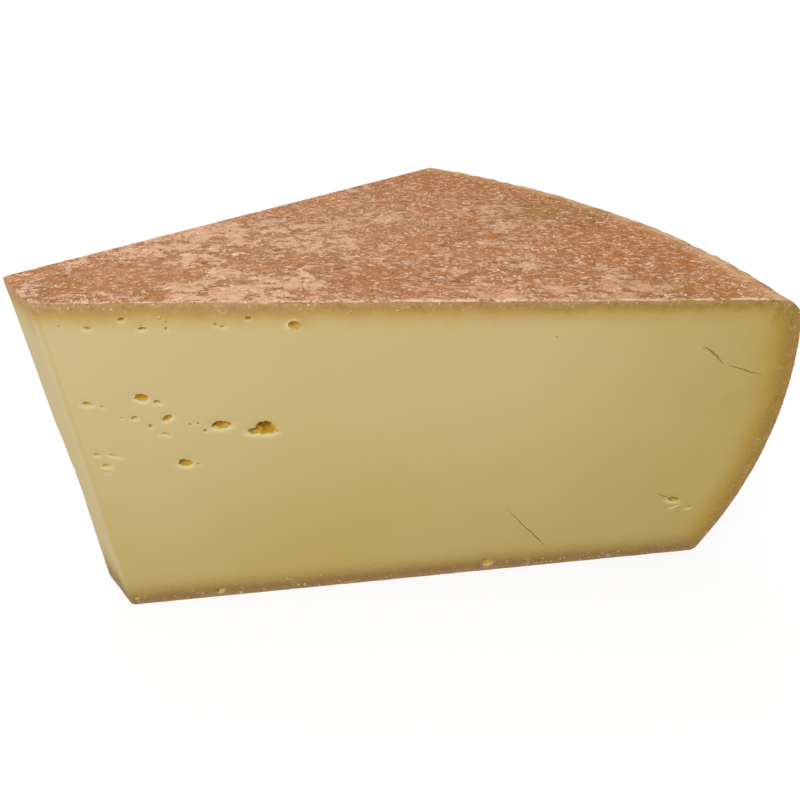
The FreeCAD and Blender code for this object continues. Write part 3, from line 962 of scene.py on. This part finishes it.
def bumped(nodes, surface, *layers):
    """Bumps one over another: each is a height, its strength and its depth in metres."""
    values = {}
    for height, strength, distance in layers:
        values.update(Height=height, Strength=strength, Distance=distance)
        values["Normal"] = nodes.add("ShaderNodeBump", values).outputs[0]
    nodes.put(surface.inputs["Normal"], values["Normal"])


# Colours, as 0 to 255 for red, green and blue

CREAM = linear(204, 184, 133)
TIP_CREAM = linear(197, 179, 122)
STRAW = linear(202, 181, 121)
# Riper paste by the heel rind. Towards the foot the same colour is laid on as painted shade.
RIPE_AND_SHADE = linear(182, 157, 78)
# Painted highlight colour for the lips of the eyes.
LIP_HIGHLIGHT = linear(228, 212, 162)
CRUST_OCHRE = linear(192, 153, 80)
CRUST_BROWN = linear(176, 136, 78)
CRUST_SKIN = linear(192, 154, 112)
CRUST_FLECK = linear(214, 180, 140)
HEEL_OCHRE = linear(177, 145, 56)
HEEL_BROWN = linear(158, 124, 50)
FOOT_OCHRE = linear(164, 134, 70)
FOOT_BROWN = linear(138, 108, 62)
# Golden eye walls under painted shade, and the painted shade alone deep in the hollows and cracks.
HOLLOW_GOLD_AND_SHADE = linear(198, 161, 50)
HOLLOW_SHADE = linear(174, 136, 20)

RIND_MID = linear(175, 121, 80)
RIND_PALE = linear(216, 170, 139)
RIND_DARK = linear(162, 109, 70)
RIND_FLECK = linear(240, 205, 177)
RIND_RED = linear(158, 99, 53)
# Pale dust on the rind's cut edge, which also serves as a painted highlight there.
RIND_DUST_AND_HIGHLIGHT = linear(230, 190, 160)
RIND_OLIVE = linear(148, 118, 58)
# Tan of the band over the rim, partly a painted highlight.
RIND_TAN = linear(204, 168, 124)
RIND_STREAK = linear(128, 78, 34)
RIND_SPECK = linear(78, 66, 38)

FLAKE_DULL = linear(202, 154, 118)
FLAKE_BRIGHT = linear(232, 194, 162)
CRUMB_DULL = linear(198, 162, 112)
CRUMB_BRIGHT = linear(226, 198, 152)

WHITE = (1.0, 1.0, 1.0, 1.0)
FLOOR_GREY = (0.62, 0.62, 0.62, 1.0)

PASTE_ROUGHNESS = 0.46


def paste_material(groups, hollowed):
    """The cut paste: cream by the tip, riper towards the rind, browned under it, golden in its hollows.

    Painted shade darkens the hollows the deeper they go and the cut towards its foot, and a painted
    highlight lies on the lip of each eye.
    """
    name = "eyed_paste" if hollowed else "cut_paste"
    material, nodes, surface, place = new_material(name, PASTE_ROUGHNESS, 0.32)
    crust, mottle, grain = groups
    below_top = nodes.attribute("below_top")
    before_heel = nodes.attribute("before_heel")
    above_foot = nodes.attribute("above_foot")

    cream = CREAM if hollowed else TIP_CREAM
    colour = nodes.mix(nodes.rise(before_heel, 150.0, 262.0), STRAW, cream)
    colour = nodes.tint(colour, nodes.fall(before_heel, 8.0, 96.0), 0.85, RIPE_AND_SHADE)
    # Painted shade: the paste darkens towards the foot across the cut's whole height.
    colour = nodes.tint(colour, nodes.fall(above_foot, 0.0, 125.0), 0.72, RIPE_AND_SHADE)
    colour = nodes.tint(colour, patches(nodes, mottle, place, 17.0, 3.0, 0.55, 0.3, 0.7), 0.22, cream)

    top = nodes.use(crust, Vector=place, Depth=below_top, Width=12.0, Ragged=4.5)
    heel = nodes.use(crust, Vector=place, Depth=before_heel, Width=20.0, Ragged=3.0)
    foot = nodes.use(crust, Vector=place, Depth=above_foot, Width=17.0, Ragged=3.0)
    fade = nodes.math("MAXIMUM", nodes.math("MAXIMUM", top["Fade"], heel["Fade"]), foot["Fade"])
    heel_skin = nodes.math("MULTIPLY", heel["Skin"], 0.4)
    skin = nodes.math("MAXIMUM", nodes.math("MAXIMUM", top["Skin"], heel_skin), foot["Skin"])
    under_top = nodes.mix(nodes.fall(before_heel, 20.0, 170.0), CRUST_BROWN, HEEL_BROWN)
    for part, ochre, brown in ((top, CRUST_OCHRE, under_top), (heel, HEEL_OCHRE, HEEL_BROWN),
                               (foot, FOOT_OCHRE, FOOT_BROWN)):
        colour = nodes.mix(nodes.rise(part["Fade"], 0.0, 0.62), colour, ochre)
        colour = nodes.mix(nodes.rise(part["Fade"], 0.38, 0.86), colour, brown)
    fine = nodes.use(grain, Vector=place, Scale=820.0, Coarse=0.4)
    colour = nodes.tint(colour, skin, 0.5, CRUST_SKIN)
    specks = nodes.math("MULTIPLY", fine["Crests"], nodes.rise(fade, 0.25, 0.9))
    colour = nodes.tint(colour, specks, 0.6, CRUST_FLECK)
    pits = nodes.math("MULTIPLY", fine["Pits"], nodes.rise(fade, 0.45, 0.9))
    colour = nodes.tint(colour, pits, 0.5, RIND_STREAK)

    if hollowed:
        hollow = nodes.attribute("hollow")
        # Painted highlight: a pale band on the lip below each eye (above it for one), where light catches
        # the rim.
        colour = nodes.tint(colour, nodes.attribute("lip"), 0.75, LIP_HIGHLIGHT)
        # Golden eye walls with painted shade: the deeper a place lies in a hollow or crack, the darker it is
        # painted.
        colour = nodes.mix(nodes.rise(hollow, 0.45, 1.2), colour, HOLLOW_GOLD_AND_SHADE)
        colour = nodes.mix(nodes.rise(hollow, 1.6, 4.0), colour, HOLLOW_SHADE)
    nodes.put(surface.inputs["Base Color"], colour)
    nodes.put(surface.inputs["Roughness"], nodes.math("MULTIPLY_ADD", fade, 0.3, PASTE_ROUGHNESS))
    crumbly = nodes.math("MULTIPLY", fine["Height"], nodes.math("MULTIPLY_ADD", fade, 0.9, 0.10))
    wide = nodes.noise(place, 260.0)
    bumped(nodes, surface, (crumbly, 1.0, 0.0006), (wide, 0.6, 0.00008))
    return material


def rind_material(groups):
    """The browned rind: a pale flaky layer worn off in patches, fine flecks, streaks and olive stains.

    The paler band over the rim and the pale line along the cut edge are partly painted highlight.
    """
    material, nodes, surface, place = new_material("browned_rind", 0.85, 0.02)
    _, mottle, grain = groups
    before_heel = nodes.attribute("before_heel")
    above_foot = nodes.attribute("above_foot")
    from_front = nodes.attribute("from_front")
    by_tip = nodes.rise(before_heel, 110.0, 205.0)
    by_heel = nodes.fall(before_heel, 10.0, 130.0)

    streaky = nodes.stretch(place, (0.6, 1.0, 1.0))
    flaky = nodes.stretch(place, (0.85, 1.0, 1.0))
    shade = patches(nodes, mottle, place, 30.0, 5.0, 0.6, 0.40, 0.60)
    colour = nodes.tint(RIND_MID, shade, 0.75, RIND_DARK)
    colour = nodes.tint(colour, by_heel, 0.6, RIND_RED)

    # Where the pale layer holds: broad drifts decide how much, the fine ragged noise where. It holds
    # better by the front cut and near the tip, and worse towards the heel.
    drift = nodes.math("SUBTRACT", nodes.noise(place, 19.0, 2.0), 0.5)
    ragged = nodes.noise(flaky, 135.0, 8.0, 0.74, 0.3)
    layer = nodes.math("MULTIPLY_ADD", drift, 0.60, ragged)
    for where, share in ((nodes.fall(from_front, 2.0, 26.0), 0.055), (by_heel, -0.10),
                         (nodes.rise(before_heel, 172.0, 196.0), -0.06),
                         (nodes.rise(before_heel, 218.0, 238.0), 0.10)):
        layer = nodes.math("MULTIPLY_ADD", where, share, layer)
    pale = nodes.rise(layer, 0.487, 0.52)
    colour = nodes.tint(colour, pale, nodes.math("MULTIPLY_ADD", by_tip, 0.22, 0.66), RIND_PALE)

    flecks = patches(nodes, mottle, flaky, 330.0, 5.0, 0.7, 0.53, 0.58)
    colour = nodes.tint(colour, flecks, nodes.math("MULTIPLY_ADD", by_tip, -0.25, 0.6), RIND_PALE)
    bare = patches(nodes, mottle, flaky, 250.0, 5.0, 0.7, 0.53, 0.58)
    colour = nodes.tint(colour, bare, 0.6, RIND_DARK)
    streaks = patches(nodes, mottle, streaky, 520.0, 4.0, 0.66, 0.57, 0.63)
    colour = nodes.tint(colour, streaks, 0.7, RIND_FLECK)
    dark_streaks = patches(nodes, mottle, streaky, 300.0, 5.0, 0.66, 0.58, 0.64)
    colour = nodes.tint(colour, dark_streaks, 0.55, RIND_STREAK)

    olive = patches(nodes, mottle, streaky, 20.0, 5.0, 0.65, 0.53, 0.64)
    colour = nodes.tint(colour, olive, nodes.math("MULTIPLY_ADD", by_heel, 0.4, 0.12), RIND_OLIVE)
    # A paler tan band over the rounded rim: a painted highlight where the rim turns, broken into scuffed
    # patches.
    scuffed = patches(nodes, mottle, place, 55.0, 6.0, 0.7, 0.42, 0.56)
    rim_highlight_and_wear = nodes.math("MULTIPLY_ADD", scuffed, 0.6, 0.28)
    colour = nodes.tint(colour, nodes.fall(before_heel, 4.0, 17.0), rim_highlight_and_wear, RIND_TAN)
    colour = nodes.tint(colour, nodes.fall(above_foot, 0.0, 5.0), 0.4, RIND_DARK)
    spots = nodes.add("ShaderNodeTexVoronoi", {"Vector": place, "Scale": 42.0}).outputs["Distance"]
    colour = nodes.tint(colour, nodes.fall(spots, 0.03, 0.06), 0.7, RIND_SPECK)

    fine = nodes.use(grain, Vector=place, Scale=1100.0, Coarse=0.55)
    colour = nodes.tint(colour, fine["Crests"], 0.4, RIND_PALE)
    colour = nodes.tint(colour, fine["Pits"], 0.3, RIND_STREAK)
    # A pale line along the rind's cut edge: crumbled rind dust with a painted highlight on the edge.
    near_cut = nodes.math("MULTIPLY", nodes.fall(from_front, 0.5, 3.0), nodes.rise(before_heel, 1.0, 12.0))
    dust_and_highlight = patches(nodes, mottle, flaky, 230.0, 6.0, 0.7, 0.43, 0.52)
    colour = nodes.tint(colour, near_cut, dust_and_highlight, RIND_DUST_AND_HIGHLIGHT)
    nodes.put(surface.inputs["Base Color"], colour)
    heights = nodes.math("MULTIPLY_ADD", pale, 0.5, fine["Height"])
    lines = nodes.math("SUBTRACT", streaks, dark_streaks)
    bumped(nodes, surface, (heights, 1.0, 0.00034), (lines, 0.5, 0.00012))
    return material


def flake_material(name, dull, bright, groups):
    """Dry flakes or crumbs, each a little different."""
    material, nodes, surface, place = new_material(name, 0.85, 0.02)
    _, mottle, grain = groups
    tone = patches(nodes, mottle, place, 160.0, 2.0, 0.5, 0.35, 0.65)
    nodes.put(surface.inputs["Base Color"], nodes.mix(tone, dull, bright))
    fine = nodes.use(grain, Vector=place, Scale=1400.0, Coarse=0.5)
    bumped(nodes, surface, (fine["Height"], 0.6, 0.0002))
    return material


# Scattered flakes, by geometry nodes

# Name, the side they lie on, how many on a square metre at most, and the largest flake in metres.
SCATTERED = (
    ("top_flakes", "top_rind", 0.12e6, (0.0015, 0.0008, 0.00010)),
    ("heel_flakes", "heel_rind", 0.05e6, (0.0015, 0.0008, 0.00010)),
    ("cut_crumbs", "front_cut", 0.40e6, (0.0010, 0.0006, 0.00020)),
)
SMALLEST_FLAKE = (0.00026, 0.00016, 0.00004)
FLAKE_UNEVEN = 0.0004
FLAKE_SEED = 7
# The most that a flake tips either way and turns round, in radians.
MOST_TURN = (0.25, 0.25, 3.2)


def flake_tree(name, material):
    """Scatters small flat flakes over a surface where its flake density allows."""
    inside, taken, given = new_group(
        name,
        (("Geometry", "Geometry", None), ("Density", "Float", 1.0), ("Seed", "Int", 3),
         ("Smallest", "Vector", (0.0003, 0.0002, 0.0001)), ("Largest", "Vector", (0.001, 0.0006, 0.0002)),
         ("Uneven", "Float", 0.0002)),
        (("Geometry", "Geometry"),),
        "GeometryNodeTree",
    )
    seed = taken["Seed"]
    thick = inside.add("GeometryNodeInputNamedAttribute", {"Name": "flake_density"}, data_type="FLOAT")
    density = inside.math("MULTIPLY", thick.outputs["Attribute"], taken["Density"])
    points = inside.add("GeometryNodeDistributePointsOnFaces",
                        {"Mesh": taken["Geometry"], "Density": density, "Seed": seed},
                        distribute_method="RANDOM").outputs
    flake = inside.add("GeometryNodeMeshIcoSphere", {"Radius": 1.0, "Subdivisions": 1}).outputs["Mesh"]
    size = inside.add("FunctionNodeRandomValue", {0: taken["Smallest"], 1: taken["Largest"], "Seed": seed},
                      data_type="FLOAT_VECTOR").outputs[0]
    laid = inside.add("GeometryNodeInstanceOnPoints",
                      {"Points": points["Points"], "Instance": flake, "Rotation": points["Rotation"],
                       "Scale": size}).outputs[0]
    turn = inside.add("FunctionNodeRandomValue",
                      {0: [-most for most in MOST_TURN], 1: MOST_TURN, "Seed": seed},
                      data_type="FLOAT_VECTOR").outputs[0]
    turned = inside.add("GeometryNodeRotateInstances",
                        {"Instances": laid, "Rotation": turn, "Local Space": True}).outputs[0]
    real = inside.add("GeometryNodeRealizeInstances", {"Geometry": turned}).outputs[0]
    place = inside.add("GeometryNodeInputPosition").outputs[0]
    bend = inside.add("ShaderNodeTexNoise", {"Vector": place, "Scale": 1700.0, "Detail": 1.0})
    centred = inside.add("ShaderNodeVectorMath", {0: bend.outputs["Color"], 1: (0.5, 0.5, 0.5)},
                         operation="SUBTRACT").outputs[0]
    shift = inside.add("ShaderNodeVectorMath", {0: centred, "Scale": taken["Uneven"]},
                       operation="SCALE").outputs[0]
    uneven = inside.add("GeometryNodeSetPosition", {"Geometry": real, "Offset": shift}).outputs[0]
    dressed = inside.add("GeometryNodeSetMaterial", {"Geometry": uneven, "Material": material}).outputs[0]
    inside.put(given["Geometry"], dressed)
    return inside.tree


def scatter(name, ground, tree, **sizes):
    """Runs the scattering tree over a bare grid and keeps the result as a plain mesh."""
    made = ground.modifiers.new("Scatter", "NODES")
    made.node_group = tree
    for item in tree.interface.items_tree:
        if item.in_out == "INPUT" and item.name in sizes:
            made[item.identifier] = sizes[item.name]
    mesh = worked_mesh(ground, made)
    mesh.name = name
    left_over = mesh.attributes.get("flake_density")
    if left_over:
        mesh.attributes.remove(left_over)
    return placed(name, mesh)


def bare_ground(name, grid, density):
    """A grid's outside alone, with its flake density, to scatter over."""
    quads, _ = grid_faces(*grid.shape[:2])
    outer = grid.reshape(-1, 3)
    if looks_inwards(outer, quads):
        quads = quads[:, ::-1]
    ground = link_mesh(name, outer, quads.tolist())
    layer = ground.data.attributes.new("flake_density", "FLOAT", "POINT")
    layer.data.foreach_set("value", density.reshape(-1).astype(np.float32))
    return ground


def rind_flake_density(points):
    """More flakes in drifts and along the front cut's edge, fewer on the bare brown places."""
    drifts = ease(rough(points, 16.0, 81, 3), -0.35, 0.75)
    edge = np.exp(-np.maximum(points[..., 1], 0.0) / 2.0)
    return (0.25 + 1.0 * drifts + 3.0 * edge) * ease(points[..., 2], 0.5, 3.0)


def crumb_density(points):
    """Crumbs on the front cut: along its top and foot, and a few below the top by the tip."""
    below = top_level(points[..., 0], points[..., 1]) - points[..., 2]
    top = 0.35 * np.exp(-below / 0.8) + 0.012 * np.exp(-below / 4.0)
    foot = 0.7 * np.exp(-points[..., 2] / 1.6) * ease(points[..., 2], 0.5, 1.5)
    by_tip = 0.02 * (1 - ease(points[..., 0], 105.0, 130.0)) * (1 - ease(below, 9.0, 14.0))
    return top + foot + by_tip


# Making the wedge

# Which borders of each side are sharp: start and end of its first direction, then of its second.
SHARP_SIDES = {
    "front_cut": (False, True, True, True),
    "back_cut": (False, True, True, True),
    "tip_cut": (False, False, True, True),
    "heel_rind": (True, True, True, False),
    "top_rind": (True, False, True, True),
    "foot_rind": (True, True, True, True),
}

# Which borders a side's colours go by: the rind's along the front cut, and both long edges of the tip.
NEAR_SIDES = {
    "top_rind": (False, False, True, False),
    "heel_rind": (True, False, False, False),
    "tip_cut": (True, True, False, False),
}

RELIEF = {
    "front_cut": front_relief,
    "back_cut": paste_relief,
    "tip_cut": paste_relief,
    "heel_rind": rind_relief,
    "top_rind": rind_relief,
    "foot_rind": foot_relief,
}


def make_grids():
    """The outside of each side, as rows of points, crumbled and with its relief."""
    front = cut_grid("front")
    back = cut_grid("back")
    heel = heel_grid()
    tip = tip_grid(ACROSS_TIP)
    tip_fine = tip_grid(AROUND)
    top = spanned(front[:, -1], back[:, -1], tip_fine[:, -1], heel[:, -1])
    top[..., 2] = top_level(top[..., 0], top[..., 1])
    foot = spanned(front[::2, 0], back[::2, 0], tip_fine[::2, 0], heel[::2, 0])
    foot[..., 2] = 0.0
    bare = {"front_cut": front, "back_cut": back, "tip_cut": tip, "heel_rind": heel, "top_rind": top,
            "foot_rind": foot}
    return {name: crumbled(grid, SHARP_SIDES[name], RELIEF[name]) for name, grid in bare.items()}


def carve_front(piece):
    """Takes the eyes and cracks out of the front cut, those that run into others last."""
    forms = [eye_form(number, eye) for number, eye in enumerate(EYES)]
    later = {number for _, numbers in LATER_EYES for number in numbers}
    carve(piece, "eyes", [form for number, form in enumerate(forms) if number not in later])
    carve(piece, "cracks", [crack_form(number, crack) for number, crack in enumerate(CRACKS)])
    for name, numbers in LATER_EYES:
        carve(piece, name, [forms[number] for number in numbers])
    lay_out_flat(piece)


def make_sides(grids, groups):
    """The six sides, each with its depths noted and its material."""
    paste = paste_material(groups, False)
    eyed_paste = paste_material(groups, True)
    rind = rind_material(groups)
    cuts = {"front_cut": eyed_paste, "back_cut": paste, "tip_cut": paste}
    pieces = []
    for name, grid in grids.items():
        piece = side_piece(name, grid)
        if name == "front_cut":
            carve_front(piece)
        near_sides = NEAR_SIDES.get(name)
        note_depths(piece, border_reach(grid, near_sides) if near_sides else None)
        piece.data.materials.clear()
        piece.data.materials.append(cuts.get(name, rind))
        shade_smooth(piece)
        pieces.append(piece)
    return pieces


def make_flakes(grids, groups):
    """The flakes on the rind and the crumbs on the front cut."""
    pale = flake_material("pale_flakes", FLAKE_DULL, FLAKE_BRIGHT, groups)
    crumb = flake_material("cream_crumbs", CRUMB_DULL, CRUMB_BRIGHT, groups)
    on_rind = flake_tree("Rind flakes", pale), rind_flake_density
    on_paste = flake_tree("Paste crumbs", crumb), crumb_density
    pieces = []
    for name, side, number, largest in SCATTERED:
        tree, density = on_paste if side == "front_cut" else on_rind
        ground = bare_ground(f"{name}_ground", grids[side], density(grids[side]))
        flakes = scatter(name, ground, tree, Density=number, Seed=FLAKE_SEED, Smallest=SMALLEST_FLAKE,
                         Largest=largest, Uneven=FLAKE_UNEVEN)
        throw_away(ground)
        flakes.data.polygons.foreach_set("use_smooth", [True] * len(flakes.data.polygons))
        pieces.append(flakes)
    return pieces


def make_pieces(grids):
    """Every piece of the wedge, with its material."""
    groups = (crust_fade_group(), mottle_group(), grain_group())
    return make_sides(grids, groups) + make_flakes(grids, groups)


# The stage

AMBIENT = 0.5
FLOOR_HALF = 30.0
WARM = (1.0, 0.99, 0.97)
NEUTRAL = (1.0, 1.0, 1.0)
LAMP_AIM = (0.0, 0.0, 0.06)

# Name, place and size in metres, power in watts, and tone.
LAMPS = (
    ("key", (-0.36, -0.95, 1.0), (0.9, 0.7), 10.8, WARM),
    ("top", (-0.05, 0.25, 1.3), (1.2, 1.0), 4.2, NEUTRAL),
    ("back", (-0.55, 1.2, 0.38), (0.9, 0.5), 9.0, WARM),
)

# The camera's place in metres, its turns in degrees and its lens in millimetres.
CAMERA_PLACE = (-0.01375, -0.3051, 0.2041)
CAMERA_YAW = 2.47
CAMERA_PITCH = 30.05
CAMERA_ROLL = -1.1
CAMERA_LENS = 28.69
CAMERA_SENSOR = 36.0


def backdrop_material():
    """Plain white floor that stays white for the camera and reflections and keeps a soft shadow."""
    material, nodes, surface, place = new_material("pale_floor", 0.9, 0.1)
    ray = nodes.add("ShaderNodeLightPath").outputs
    seen = nodes.math("MAXIMUM", nodes.math("MAXIMUM", ray["Is Camera Ray"], ray["Is Glossy Ray"]),
                      ray["Is Transmission Ray"])
    nodes.put(surface.inputs["Base Color"], nodes.mix(seen, FLOOR_GREY, WHITE))
    glow = nodes.add("ShaderNodeEmission", {"Color": WHITE, "Strength": 1.0})
    away = nodes.add("ShaderNodeVectorMath", {0: place}, operation="LENGTH").outputs["Value"]
    glow_share = nodes.math("MULTIPLY", seen, nodes.rise(away, 0.22, 0.60, 0.84, 1.0))
    both = nodes.add("ShaderNodeMixShader", {0: glow_share, 1: surface.outputs[0], 2: glow.outputs[0]})
    nodes.put(material.node_tree.nodes["Material Output"].inputs["Surface"], both.outputs[0])
    return material


def make_floor():
    mesh = bpy.data.meshes.new("floor")
    corners = [(x * FLOOR_HALF, y * FLOOR_HALF, 0) for x, y in ((-1, -1), (1, -1), (1, 1), (-1, 1))]
    mesh.from_pydata(corners, [], [(0, 1, 2, 3)])
    mesh.materials.append(backdrop_material())
    return placed("floor", mesh)


def make_world():
    """Even white light all round, seen as white."""
    world = bpy.data.worlds.new("studio")
    bpy.context.scene.world = world
    world.use_nodes = True
    nodes = Tree(world.node_tree)
    ray = nodes.add("ShaderNodeLightPath").outputs
    seen = nodes.math("MAXIMUM", ray["Is Camera Ray"], ray["Is Transmission Ray"])
    sky = world.node_tree.nodes["Background"].inputs
    nodes.put(sky["Color"], WHITE)
    nodes.put(sky["Strength"], nodes.math("MULTIPLY_ADD", seen, 1.0 - AMBIENT, AMBIENT))


def make_lamp(name, place, size, power, tone):
    lamp = bpy.data.lights.new(name, "AREA")
    lamp.shape = "RECTANGLE"
    lamp.size, lamp.size_y = size
    lamp.energy = power
    lamp.color = tone
    stand = placed(name, lamp)
    stand.location = place
    stand.rotation_euler = (Vector(LAMP_AIM) - Vector(place)).to_track_quat("-Z", "Y").to_euler()


def make_camera():
    """Looks down on the front cut and a little from its tip side."""
    yaw, pitch, roll = (math.radians(turn) for turn in (CAMERA_YAW, CAMERA_PITCH, CAMERA_ROLL))
    forward = Vector((math.sin(yaw) * math.cos(pitch), math.cos(yaw) * math.cos(pitch), -math.sin(pitch)))
    right = Vector((math.cos(yaw), -math.sin(yaw), 0.0))
    up = right.cross(forward)
    turned_right = right * math.cos(roll) + up * math.sin(roll)
    turned_up = up * math.cos(roll) - right * math.sin(roll)
    lens = bpy.data.cameras.new("camera")
    lens.lens = CAMERA_LENS
    lens.sensor_width = CAMERA_SENSOR
    lens.clip_start = 0.01
    lens.clip_end = 200.0
    camera = placed("camera", lens)
    turn = Matrix((turned_right, turned_up, -forward)).transposed().to_4x4()
    camera.matrix_world = Matrix.Translation(CAMERA_PLACE) @ turn
    bpy.context.scene.camera = camera


def main():
    for piece in make_pieces(make_grids()):
        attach(piece, "root")
        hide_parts(NODE)
    make_floor()
    make_world()
    for name, place, size, power, tone in LAMPS:
        make_lamp(name, place, size, power, tone)
    make_camera()
    bpy.context.scene.view_settings.view_transform = "Standard"


main()
